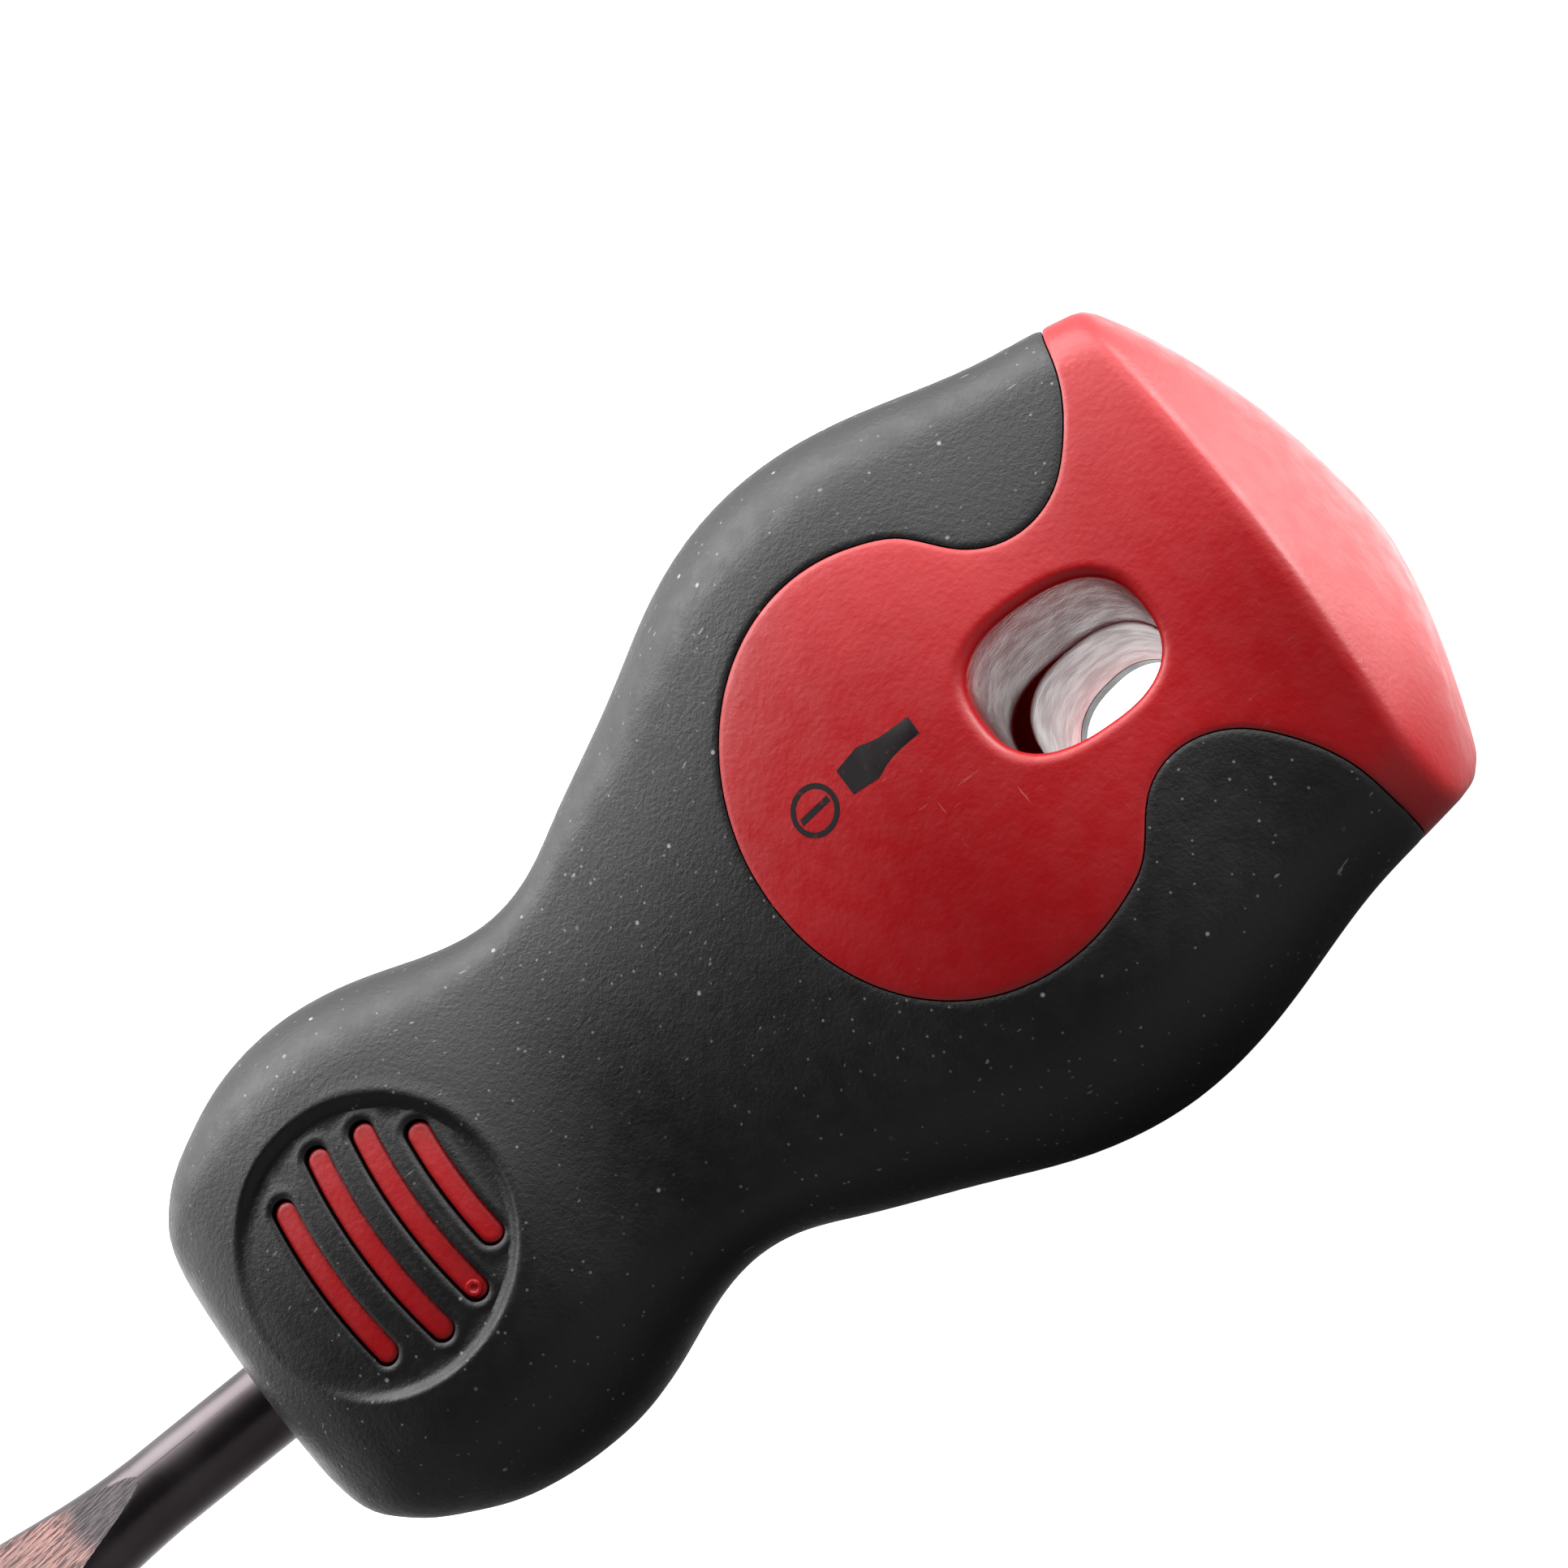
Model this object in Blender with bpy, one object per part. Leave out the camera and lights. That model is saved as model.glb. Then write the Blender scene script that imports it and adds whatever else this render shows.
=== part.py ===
"""Stubby slotted screwdriver: a steel blade, a moulded handle body and its soft overmoulded grip.

Frame: origin at the middle of the blade's flat tip, +X along the tool axis towards the butt, +Z up.
The handle is three-sided: one side faces down, one faces the front (-Y) and up by 30 degrees.
Every length below is in millimetres until mm() turns it into metres.
"""
import math

import bmesh
import bpy
from mathutils import Vector

# Blade
EXPOSED_BLADE = 38.1
SHANK_RADIUS = 2.25
TIP_WIDTH = 6.35
TIP_THICKNESS = 1.0
TANG_LENGTH = 46.0
FLAT_ANGLE = 132.0          # direction that the ground flat faces, from +Y towards +Z
BLADE_STEPS = 32
# Place from the tip, half width, half thickness
KEYSTONE = (
    (4.0, 3.25, 0.52), (8.0, 3.42, 0.6), (12.0, 3.58, 0.72), (15.5, 3.7, 0.88), (18.5, 3.72, 1.08),
    (20.5, 3.58, 1.26), (22.5, 3.28, 1.43), (24.2, 2.9, 1.6), (26.0, 2.4, 1.8), (28.0, 2.25, 2.02),
    (30.2, SHANK_RADIUS, SHANK_RADIUS),
)
# Place from the front of the handle, half width, half thickness: a round tang with swaged wings
TANG = (
    (0.0, SHANK_RADIUS, SHANK_RADIUS), (28.0, SHANK_RADIUS, SHANK_RADIUS), (30.0, 3.1, 1.55),
    (35.0, 3.1, 1.55), (37.0, SHANK_RADIUS, SHANK_RADIUS),
    (TANG_LENGTH - 1.0, SHANK_RADIUS, SHANK_RADIUS), (TANG_LENGTH, 1.5, 1.5),
)

# Handle
HANDLE_LENGTH = 71.4
FACE_ANGLES = (150.0, 270.0, 30.0)
HOLE_FACE = FACE_ANGLES[0]
SIDE_CROWN = 2.6            # distance of a side arc's centre behind the axis, in corner spreads
RIM = 66.7                  # where the sides meet the domed butt, at the corners
RIM_ARCH = 1.1              # how much further back the rim lies at the middle of a side
GRIP_THICKNESS = 1.8
GAP = 0.3                   # clearance between touching pieces

# Red windows in the grip
DISC_CENTRE = 47.8
DISC_HALF_LENGTH = 10.7
DISC_HALF_WIDTH = 12.1
FINGER_TIP = 64.6
WINDOW_DEPTH = 6.0          # a window reaches in to this distance from the axis
OUTSIDE = 27.0              # beyond every surface of the handle

# Ribbed medallion recess near the front of each side
MEDALLION_CENTRE = 10.3
MEDALLION_RADIUS = 7.8
MEDALLION_RECESS = 0.55
SLOT_WIDTH = 1.5
SLOT_BOW = 0.55
RIB_DEPTH = 1.15            # the ribs' crests below the outer surface
SLOTS = ((7.3, 5.3), (10.2, 6.3), (12.9, 5.8), (15.4, 4.0))     # place along the axis, half length

# Hanging hole
HOLE_CENTRE = (54.8, -0.65)             # along and across, where it passes the axis
HOLE_FAR_CENTRE = (55.2, -0.65)         # the same for the half behind the axis
HOLE_LEAN = (0.07, 0.038)               # how fast it moves along and across on its way out to its face
HOLE_NEAR = (4.8, 3.8)      # half length and half width, from the face to the axis
HOLE_FAR = (4.3, 3.75)      # the same behind the step at the axis
HOLE_FLARE = 0.056          # how fast the far half widens
HOLE_SQUARENESS = 0.8      # 1 gives an ellipse, less gives flatter sides

# Sections along the handle: place, spread of the three corner arcs from the axis, their radius
SECTIONS = (
    (0.0, 1.6, 1.0), (0.35, 5.2, 1.5), (0.75, 7.2, 1.6), (1.3, 8.0, 2.1), (2.1, 8.6, 2.5),
    (3.2, 8.8, 3.3), (5.1, 8.66, 4.52), (7.2, 8.5, 5.6), (9.5, 8.6, 6.1), (11.9, 8.45, 6.45),
    (14.5, 7.95, 6.7), (17.5, 7.6, 6.25), (21.0, 7.9, 4.75), (24.0, 8.45, 3.75), (27.0, 9.35, 3.45),
    (30.0, 10.0, 4.25), (33.0, 10.45, 5.25), (36.5, 11.3, 6.15), (40.0, 12.6, 6.75),
    (43.5, 13.65, 7.1), (47.0, 14.15, 7.25), (50.5, 14.5, 6.85), (54.0, 14.6, 6.1),
    (57.5, 14.35, 5.3), (61.0, 13.8, 4.85), (64.0, 13.2, 4.85), (RIM, 12.3, 5.1),
)
DOME_STEPS = (0.12, 0.28, 0.46, 0.64, 0.8, 0.92, 0.985)     # shares of the dome's height
SIDE_STEPS = 7
CORNER_STEPS = 7
LEAST_RADIUS = 0.3          # of a corner arc in an inset section
CORE_FRONT = 2.1            # where the grip's inner side starts, from the front of the handle


def mm(*values):
    """Millimetres to a Vector in metres."""
    return Vector(values) * 0.001


def make_material(name, color, roughness, metallic=0.0):
    material = bpy.data.materials.new(name)
    material.use_nodes = True
    shader = material.node_tree.nodes["Principled BSDF"]
    shader.inputs["Base Color"].default_value = (*color, 1.0)
    shader.inputs["Roughness"].default_value = roughness
    shader.inputs["Metallic"].default_value = metallic
    return material


def add_object(name, bm, collection, material=None):
    """Make an object of a bmesh, with its faces pointing out."""
    bmesh.ops.recalc_face_normals(bm, faces=bm.faces)
    mesh = bpy.data.meshes.new(name)
    bm.to_mesh(mesh)
    bm.free()
    piece = bpy.data.objects.new(name, mesh)
    collection.objects.link(piece)
    if material:
        mesh.materials.append(material)
        mesh.shade_smooth()
        mesh.set_sharp_from_angle(angle=math.radians(35))
    else:
        piece.hide_render = True
        piece.display_type = "WIRE"
    return piece


def boolean(piece, other, operation="DIFFERENCE"):
    modifier = piece.modifiers.new(other.name, "BOOLEAN")
    modifier.operation = operation
    modifier.object = other
    modifier.solver = "EXACT"


def loft(rings):
    """A closed skin over rings of the same number of points, capped at both ends."""
    bm = bmesh.new()
    rows = [[bm.verts.new(point) for point in ring] for ring in rings]
    count = len(rings[0])
    for row, following in zip(rows, rows[1:]):
        for i in range(count):
            j = (i + 1) % count
            bm.faces.new((row[i], row[j], following[j], following[i]))
    bm.faces.new(rows[0])
    bm.faces.new(rows[-1])
    return bm


def side_point(face_angle, along, across, out):
    """A point given along the tool axis, across one side and out from the axis."""
    angle = math.radians(face_angle)
    y = out * math.cos(angle) - across * math.sin(angle)
    z = out * math.sin(angle) + across * math.cos(angle)
    return mm(EXPOSED_BLADE + along, y, z)


def section(spread, radius):
    """(y, z) round a three-cornered section: crowned sides between corner arcs."""
    behind = SIDE_CROWN * spread
    reach_across = spread * math.sin(math.radians(60))
    reach_out = spread / 2 + behind
    side_radius = radius + math.hypot(reach_out, reach_across)
    turn = math.atan2(reach_across, reach_out)
    points = []
    for face_angle in sorted(FACE_ANGLES):
        face = math.radians(face_angle)
        corner = face + math.radians(60)
        for i in range(SIDE_STEPS):
            angle = face + turn * (2 * i / SIDE_STEPS - 1)
            points.append((side_radius * math.cos(angle) - behind * math.cos(face),
                           side_radius * math.sin(angle) - behind * math.sin(face)))
        corner_turn = math.radians(60) - turn
        for i in range(CORNER_STEPS):
            angle = corner + corner_turn * (2 * i / CORNER_STEPS - 1)
            points.append((spread * math.cos(corner) + radius * math.cos(angle),
                           spread * math.sin(corner) + radius * math.sin(angle)))
    return points


def section_at(place):
    """Place, spread and radius between two rows of SECTIONS."""
    for low, high in zip(SECTIONS, SECTIONS[1:]):
        if low[0] <= place < high[0]:
            share = (place - low[0]) / (high[0] - low[0])
            return tuple(a + share * (b - a) for a, b in zip(low, high))
    return SECTIONS[-1]


def handle_rings(inset=0.0, start=0.0, dome=True):
    """Rings of the handle's outer surface, or of one set in from it by an even thickness."""
    stations = [row for row in SECTIONS if row[0] > start]
    stations.insert(0, section_at(start))
    arch_start = SECTIONS[-3][0]
    rings = []
    for place, spread, radius in stations:
        small = max(radius - inset, LEAST_RADIUS)
        tight = spread - max(LEAST_RADIUS - (radius - inset), 0.0)
        lift = RIM_ARCH * max(0.0, (place - arch_start) / (RIM - arch_start)) ** 2
        rings.append(arched(place, section(tight, small), lift))
    if not dome:
        rings.append([point + mm(HANDLE_LENGTH - RIM, 0, 0) for point in rings[-1]])
    else:
        height = HANDLE_LENGTH - RIM
        for share in DOME_STEPS:
            scale = math.sqrt(1 - share) * (1 + 0.1 * share * (1 - share))
            outline = [(y * scale, z * scale) for y, z in section(*SECTIONS[-1][1:])]
            lift = RIM_ARCH * (1 - share) ** 2
            rings.append(arched(RIM + height * share, outline, lift))
    return rings


def arched(place, outline, lift):
    """A ring whose points lie further back where the outline is nearer the axis."""
    nearest = min(math.hypot(y, z) for y, z in outline)
    furthest = max(math.hypot(y, z) for y, z in outline)
    ring = []
    for y, z in outline:
        share = (furthest - math.hypot(y, z)) / (furthest - nearest)
        ring.append(mm(EXPOSED_BLADE + place + lift * share, y, z))
    return ring


def window_outline(grow):
    """Half-lobed outline of a red window, (along, across), grown or shrunk by an even amount."""
    half = []
    for i in range(13):
        angle = math.radians(180 - 10 * i)
        half.append((DISC_CENTRE + DISC_HALF_LENGTH * math.cos(angle),
                     DISC_HALF_WIDTH * math.sin(angle)))
    half += [(55.4, 7.95), (57.0, 7.05), (58.9, 6.95), (60.8, 7.75), (62.3, 9.3), (63.5, 11.2),
             (64.3, 13.3), (65.0, 15.2), (67.0, 17.0)]
    outline = half + [(along, -across) for along, across in reversed(half) if across > 1e-6]
    shifted = []
    for i, point in enumerate(outline):
        before = Vector(outline[i - 1])
        after = Vector(outline[(i + 1) % len(outline)])
        tangent = (after - before).normalized()
        shifted.append((point[0] - tangent.y * grow, point[1] + tangent.x * grow))
    return shifted


def oval(half_length, half_width, steps=24):
    """(along, across) round an oval with flattened sides."""
    points = []
    for i in range(steps):
        angle = math.tau * (i + 0.5) / steps
        cosine, sine = math.cos(angle), math.sin(angle)
        points.append((half_length * math.copysign(abs(cosine) ** HOLE_SQUARENESS, cosine),
                       half_width * math.copysign(abs(sine) ** HOLE_SQUARENESS, sine)))
    return points


def bowed_slot(place, half_length, width):
    """(along, across) round a slot across the handle, bowed towards the blade."""
    steps = 8
    edge = []
    for i in range(steps + 1):
        across = half_length * (2 * i / steps - 1)
        bow = SLOT_BOW * (across / SLOTS[1][1]) ** 2
        edge.append((place + bow, across))
    front = [(along - width / 2, across) for along, across in edge]
    back = [(along + width / 2, across) for along, across in reversed(edge)]
    return front + back


def prism(outlines, face_angle):
    """A skin over flat outlines, [(out, [(along, across), ...]), ...], on one side of the handle."""
    return loft([[side_point(face_angle, along, across, out) for along, across in outline]
                 for out, outline in outlines])


def join(pieces):
    """Several separate bmeshes as one."""
    whole = bmesh.new()
    for piece in pieces:
        mesh = bpy.data.meshes.new("joined")
        piece.to_mesh(mesh)
        piece.free()
        whole.from_mesh(mesh)
        bpy.data.meshes.remove(mesh)
    return whole


def blade_ring(place, half_width, half_thickness, grow=0.0, squared=False):
    """A round section flattened to a thickness, at a place measured from the tip."""
    flat = math.radians(FLAT_ANGLE)
    ring = []
    for i in range(BLADE_STEPS):
        angle = math.tau * (i + 0.5) / BLADE_STEPS
        across = (half_width + grow) * math.cos(angle)
        limit = half_thickness + grow
        out = max(-limit, min(limit, (SHANK_RADIUS + grow) * math.sin(angle)))
        if squared and abs(out) < limit:
            across = math.copysign(half_width, across)
        ring.append(mm(place, out * math.cos(flat) - across * math.sin(flat),
                       out * math.sin(flat) + across * math.cos(flat)))
    return ring


def blade_rings():
    """The blade from its flat tip, through its flared keystone and round shank, to the tang's end."""
    rings = [blade_ring(0.0, TIP_WIDTH / 2, TIP_THICKNESS / 2, squared=True)]
    rings += [blade_ring(*row) for row in KEYSTONE]
    return rings + [blade_ring(EXPOSED_BLADE + row[0], *row[1:]) for row in TANG]


def tang_cavity_rings():
    """The space that the shank and tang take up in the handle, with clearance."""
    rows = [(-2.0, SHANK_RADIUS, SHANK_RADIUS)] + list(TANG[1:-1])
    end = TANG[-1]
    rows += [(end[0], *rows[-1][1:]), (end[0] + GAP, *end[1:])]
    return [blade_ring(EXPOSED_BLADE + row[0], *row[1:], grow=GAP) for row in rows]


def make_cutters(collection):
    """Every cutter, by name."""
    cutters = {}

    def add(name, bm):
        cutters[name] = add_object(name, bm, collection)

    for number, face_angle in enumerate(FACE_ANGLES):
        for name, grow in (("grip_window", GAP / 2), ("body_window", -GAP / 2)):
            outline = window_outline(grow)
            low = WINDOW_DEPTH - (GAP if grow > 0 else 0)
            add(f"{name}_{number}", prism([(low, outline), (OUTSIDE, outline)], face_angle))
    for name, place in (("grip_rear", FINGER_TIP - GAP / 2), ("body_rear", FINGER_TIP + GAP / 2)):
        square = [(place, -OUTSIDE), (2 * RIM, -OUTSIDE), (2 * RIM, OUTSIDE), (place, OUTSIDE)]
        add(name, prism([(-OUTSIDE, square), (OUTSIDE, square)], HOLE_FACE))
    add("core_space", loft(handle_rings(GRIP_THICKNESS, CORE_FRONT, dome=False)))
    add("core", loft(handle_rings(GRIP_THICKNESS + GAP, CORE_FRONT + GAP, dome=False)))
    oversize = handle_rings(-GAP * 4)
    oversize.insert(0, [point - mm(OUTSIDE, 0, 0) for point in oversize[0]])
    add("rubber_space", loft(oversize))
    for name in ("body_rear", "core", "body_window_0", "body_window_1", "body_window_2"):
        boolean(cutters["rubber_space"], cutters[name])
    add("hole_near", prism(hole_outlines(HOLE_CENTRE, ((-0.1, HOLE_NEAR), (OUTSIDE, HOLE_NEAR))), HOLE_FACE))
    far_width = HOLE_FAR[1] + HOLE_FLARE * OUTSIDE
    far = ((0.2, HOLE_FAR), (-OUTSIDE, (HOLE_FAR[0], far_width)))
    add("hole_far", prism(hole_outlines(HOLE_FAR_CENTRE, far), HOLE_FACE))
    add("tang_cavity", loft(tang_cavity_rings()))

    discs = []
    circle = [(MEDALLION_CENTRE + MEDALLION_RADIUS * math.cos(math.tau * i / 40),
               MEDALLION_RADIUS * math.sin(math.tau * i / 40)) for i in range(40)]
    slots = []
    ribs = []
    for face_angle in FACE_ANGLES:
        discs.append(prism([(WINDOW_DEPTH, circle), (OUTSIDE, circle)], face_angle))
        for place, half_length in SLOTS:
            wide = bowed_slot(place, half_length, SLOT_WIDTH)
            narrow = bowed_slot(place, half_length - GAP, SLOT_WIDTH - 2 * GAP)
            slots.append(prism([(WINDOW_DEPTH, wide), (OUTSIDE, wide)], face_angle))
            ribs.append(prism([(WINDOW_DEPTH, narrow), (OUTSIDE, narrow)], face_angle))
    add("medallions", join(discs))
    add("medallion_floor", loft(handle_rings(MEDALLION_RECESS, 1.2, dome=False)))
    boolean(cutters["medallions"], cutters["medallion_floor"])
    add("grip_slots", join(slots))
    add("ribs", join(ribs))
    add("rib_crests", loft(handle_rings(RIB_DEPTH, CORE_FRONT, dome=False)))
    boolean(cutters["ribs"], cutters["rib_crests"], "INTERSECT")
    return cutters


def hole_outlines(centre, levels):
    """Oval outlines of the hanging hole at each distance out from the axis."""
    outlines = []
    for out, halves in levels:
        middle = [start + lean * out for start, lean in zip(centre, HOLE_LEAN)]
        outlines.append((out, [(middle[0] + along, middle[1] + across) for along, across in oval(*halves)]))
    return outlines


def make_blade(collection):
    steel = make_material("blackened_steel", (0.05, 0.045, 0.047), 0.3, 0.9)
    return add_object("blade", loft(blade_rings()), collection, steel)


def make_grip(collection, cutters):
    rubber = make_material("black_rubber", (0.02, 0.02, 0.021), 0.6)
    grip = add_object("grip", loft(handle_rings()), collection, rubber)
    for name in ("grip_rear", "core_space", "grip_window_0", "grip_window_1", "grip_window_2",
                 "medallions", "grip_slots", "hole_far", "tang_cavity"):
        boolean(grip, cutters[name])
    return grip


def make_body(collection, cutters):
    """The hard core with its ribs, flush windows and domed butt."""
    plastic = make_material("red_plastic", (0.42, 0.012, 0.018), 0.4)
    body = add_object("handle_body", loft(handle_rings()), collection, plastic)
    boolean(body, cutters["rubber_space"])
    boolean(body, cutters["ribs"], "UNION")
    for name in ("hole_near", "hole_far", "tang_cavity"):
        boolean(body, cutters[name])
    return body


def main():
    for leftover in list(bpy.data.objects):
        bpy.data.objects.remove(leftover, do_unlink=True)
    parts = bpy.data.collections.new("stubby_screwdriver")
    cutter_collection = bpy.data.collections.new("cutters")
    for collection in (parts, cutter_collection):
        bpy.context.scene.collection.children.link(collection)
    cutters = make_cutters(cutter_collection)
    make_blade(parts)
    make_grip(parts, cutters)
    make_body(parts, cutters)


main()
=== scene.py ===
"""The looks of a stubby slotted screwdriver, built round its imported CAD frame.

The handle is one smooth surface, S(along, round), cut by seam curves into the hard red body and the
soft black grip. Lengths are in millimetres until to_metres() turns them into metres.
"""
import math

import bmesh
import bpy
import numpy as np
from mathutils import Matrix, Vector
from mathutils.geometry import delaunay_2d_cdt
from mathutils.kdtree import KDTree


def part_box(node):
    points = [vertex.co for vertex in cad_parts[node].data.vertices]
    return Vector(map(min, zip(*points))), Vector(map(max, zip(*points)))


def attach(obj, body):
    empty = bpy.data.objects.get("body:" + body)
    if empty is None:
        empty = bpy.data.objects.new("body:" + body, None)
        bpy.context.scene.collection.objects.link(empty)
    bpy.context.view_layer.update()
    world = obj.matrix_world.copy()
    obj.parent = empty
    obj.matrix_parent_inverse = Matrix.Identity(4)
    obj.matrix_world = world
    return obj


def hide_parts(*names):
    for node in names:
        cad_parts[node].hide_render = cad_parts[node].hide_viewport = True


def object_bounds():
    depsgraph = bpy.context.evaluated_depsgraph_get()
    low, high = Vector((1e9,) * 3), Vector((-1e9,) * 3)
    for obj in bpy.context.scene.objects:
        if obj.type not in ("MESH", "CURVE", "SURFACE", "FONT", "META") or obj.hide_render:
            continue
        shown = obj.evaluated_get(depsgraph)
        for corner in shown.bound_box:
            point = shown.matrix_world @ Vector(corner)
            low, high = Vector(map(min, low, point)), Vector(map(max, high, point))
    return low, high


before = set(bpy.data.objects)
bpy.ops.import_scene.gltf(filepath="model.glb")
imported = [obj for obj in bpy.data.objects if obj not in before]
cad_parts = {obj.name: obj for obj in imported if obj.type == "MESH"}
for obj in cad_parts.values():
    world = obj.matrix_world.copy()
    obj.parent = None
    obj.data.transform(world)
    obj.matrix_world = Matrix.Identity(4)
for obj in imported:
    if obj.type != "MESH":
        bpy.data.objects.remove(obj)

CAD_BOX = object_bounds()
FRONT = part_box("grip")[0][0] * 1000         # front of the handle, from the blade's tip
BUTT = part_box("handle_body")[1][0] * 1000
HANDLE_LENGTH = BUTT - FRONT

# The handle's design, as in the CAD
FACE_ANGLES = (150.0, 270.0, 30.0)
SIDE_CROWN = 2.6
RIM = 66.7
RIM_ARCH = 1.1
ARCH_START = 61.0
GRIP_THICKNESS = 1.8
SHANK_RADIUS = 2.25
FLAT_ANGLE = 132.0
SECTIONS = (
    (0.0, 0.02, 2.3), (0.13, 2.3, 2.1), (0.35, 4.9, 1.8), (0.75, 7.0, 1.75), (1.3, 8.0, 2.1), (2.1, 8.6, 2.5),
    (3.2, 8.8, 3.3), (5.1, 8.66, 4.52), (7.2, 8.5, 5.6), (9.5, 8.6, 6.1), (11.9, 8.45, 6.45),
    (14.5, 7.95, 6.7), (17.5, 7.6, 6.25), (21.0, 7.9, 4.75), (24.0, 8.45, 3.75), (27.0, 9.35, 3.45),
    (30.0, 10.0, 4.25), (33.0, 10.45, 5.25), (36.5, 11.3, 6.15), (40.0, 12.6, 6.75),
    (43.5, 13.65, 7.1), (47.0, 14.15, 7.25), (50.5, 14.5, 6.85), (54.0, 14.6, 6.1),
    (57.5, 14.35, 5.3), (61.0, 13.8, 4.85), (64.0, 13.2, 4.85), (RIM, 12.3, 5.1),
)
DISC_CENTRE = 47.8
DISC_HALF_LENGTH = 10.7
DISC_HALF_WIDTH = 12.1
FINGER_TIP = 64.6
NECK = ((55.4, 7.95), (57.0, 7.05), (58.9, 6.95), (60.8, 7.75), (62.3, 9.3), (63.5, 11.2), (64.3, 13.3))
MEDALLION_CENTRE = 10.3
MEDALLION_RADIUS = 7.8
MEDALLION_RECESS = 0.6
SLOTS = ((7.3, 5.3), (10.2, 6.3), (12.9, 5.8), (15.4, 4.0))
SLOT_HALF_WIDTH = 0.7
SLOT_BOW = 0.55
RIB_SHIFT = 0.05            # the ribs sit a little to the butt's side of their slots
RIB_DEPTH = 0.85
HOLE_MOUTH_CENTRE = (56.0, 0.0)         # the hole leans a little on its way through
HOLE_STEP_CENTRE = (54.8, -0.65)
HOLE_FAR_CENTRE = (55.2, -0.65)
HOLE_EXIT_CENTRE = (53.9, -1.3)
HOLE_NEAR = (4.8, 3.8)
HOLE_FAR = (4.3, 3.75)
HOLE_EXIT = (4.3, 4.7)
HOLE_SQUARENESS = 0.8
HOLE_ANGLE = math.radians(FACE_ANGLES[0])
HOLE_SIDEWAYS = np.array([-math.sin(HOLE_ANGLE), math.cos(HOLE_ANGLE)])
FRONT_WALL = 2.1            # the grip's inner side starts this far behind the front
RIB_HALF_WIDTH = 0.6
RIB_SHORTER = 0.08
NUB_PLACE = 13.2            # a small round gate mark on one rib
NUB_ACROSS = 5.05
NUB_RADIUS = 0.48
MOUTH_RADIUS = 0.7
EXIT_RADIUS = 0.7
CORE_DEPTH = GRIP_THICKNESS + 0.15
GRIP_SHOULDER = (0.4, 0.12)             # (width, depth) of an edge that rounds down
BODY_SHOULDER = (0.35, 0.12)
SLOT_SHOULDER = (0.22, 0.12)
RIB_SHOULDER = (0.2, 0.08)
SLOT_LIP = (0.32, 0.18, 0.05)           # (distance, width, height) of a raised line
RECESS_LIP = (-0.2, 0.2, 0.05)
RECESS_WALL = 0.7
RECESS_FRONT = (3.0, 4.5, 0.2)          # the recess is shallower at the front: from, over, and share there
RECESS_LIP_OVER = 5.0                   # its lip rises over this length, from the recess's middle
NUB_RIM = 0.14
NUB_PIT = 0.09
NUB_WALL = 0.1
FRONT_LENGTH = 10.0
FRONT_FADE = 5.0                        # round the shank, both walls thin out over this width
GRIP_CLEARANCE = 0.06
CORE_CLEARANCE = 0.3
HOLE_PULL = (1.3, 1.2)                  # points this near the hole sink along it: up to, fading over
LEDGE_LEVELS = (0.0, -0.05, -0.1, -0.18)        # from the handle's axis
LEDGE_ROUND = 0.02
STEP_ROUND = 0.03
CORE_TUBE = (               # (place, radius) of the body's wall round the tang
    (3.0, 2.6), (28.0, 2.6), (29.5, 3.5), (36.0, 3.5), (37.5, 2.6), (46.3, 2.6), (46.4, 0.3),
)

# The blade
TANG_END = 46.0
KEYSTONE_END = 30.2
KEYSTONE = (                # (place, half width, half thickness)
    (0.0, 3.175, 0.5), (4.0, 3.25, 0.52), (8.0, 3.42, 0.6), (12.0, 3.58, 0.72), (15.5, 3.7, 0.88),
    (18.5, 3.7, 1.08), (20.5, 3.52, 1.26), (22.5, 3.22, 1.43), (24.2, 2.92, 1.6), (26.0, 2.62, 1.8),
    (28.0, 2.38, 2.02), (KEYSTONE_END, SHANK_RADIUS, SHANK_RADIUS),
)
SHANK_STATIONS = (34.0, 38.0)
TIP_BEVEL = 0.05
SQUARE_SIDES = 6.0          # the blade's sides are flat at the tip and round this far behind it
GROUND_END = 31.0           # the flats are bare ground steel up to here

# The printed mark
MARK_PLACE = 44.6
MARK_ACROSS = -1.9
MARK_PROUD = 0.015
MARK_SUNK = 0.03
MARK_FINE = 0.2
HEAD_BEHIND = 2.7           # from the blade's shoulder to the middle of the screw head
HEAD_RADII = (1.35, 1.08)
HEAD_POINTS = 48
HEAD_SLOT = ((-0.95, -0.17), (0.95, -0.17), (0.95, 0.17), (-0.95, 0.17))
MARK_BLADE = ((-0.6, -0.75), (0.9, -0.98), (1.75, -0.5), (3.9, -0.5), (3.9, 0.5), (1.75, 0.5),
              (0.9, 0.98), (-0.6, 0.75))

# The mesh
TURNS = 6                   # once round the handle: two for each of its three sides
SPREAD = 15.0               # width in the flat layout of a half side
CELL = 0.55                 # the plain grid's spacing
FINE = 0.17                 # spacing of points along a seam
SEAM_CLEAR = 0.363          # the grid keeps this far from seams
GRID_SHIFT = 0.25           # each grid row is shifted this part of a cell from the last
WELD = 1e-5
FAR_AWAY = 1e9
TINY = 1e-6
HALVINGS = 40
DENSE = 0.02                # spacing of points on a curve before it is evened out
CHUNK = 4000
BESIDE = 0.25               # squared distance under which a curve is taken as straight
RED_FROM = 0.015            # the pieces meet this far inside and outside the seam
BLACK_FROM = 0.05
RIB_FROM = -0.05
LEAST_ACROSS = 0.02
HOLE_REACH = 11.0           # only points this near the hole are measured against it
EXIT_REACH = 0.75
OVAL_LEAST = 0.05
OVAL_MOST = 40.0
ARC_STEP = 10
ARC_POINTS = 13
SHARP_ANGLE = 38
BLADE_SHARP_ANGLE = 24
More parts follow.
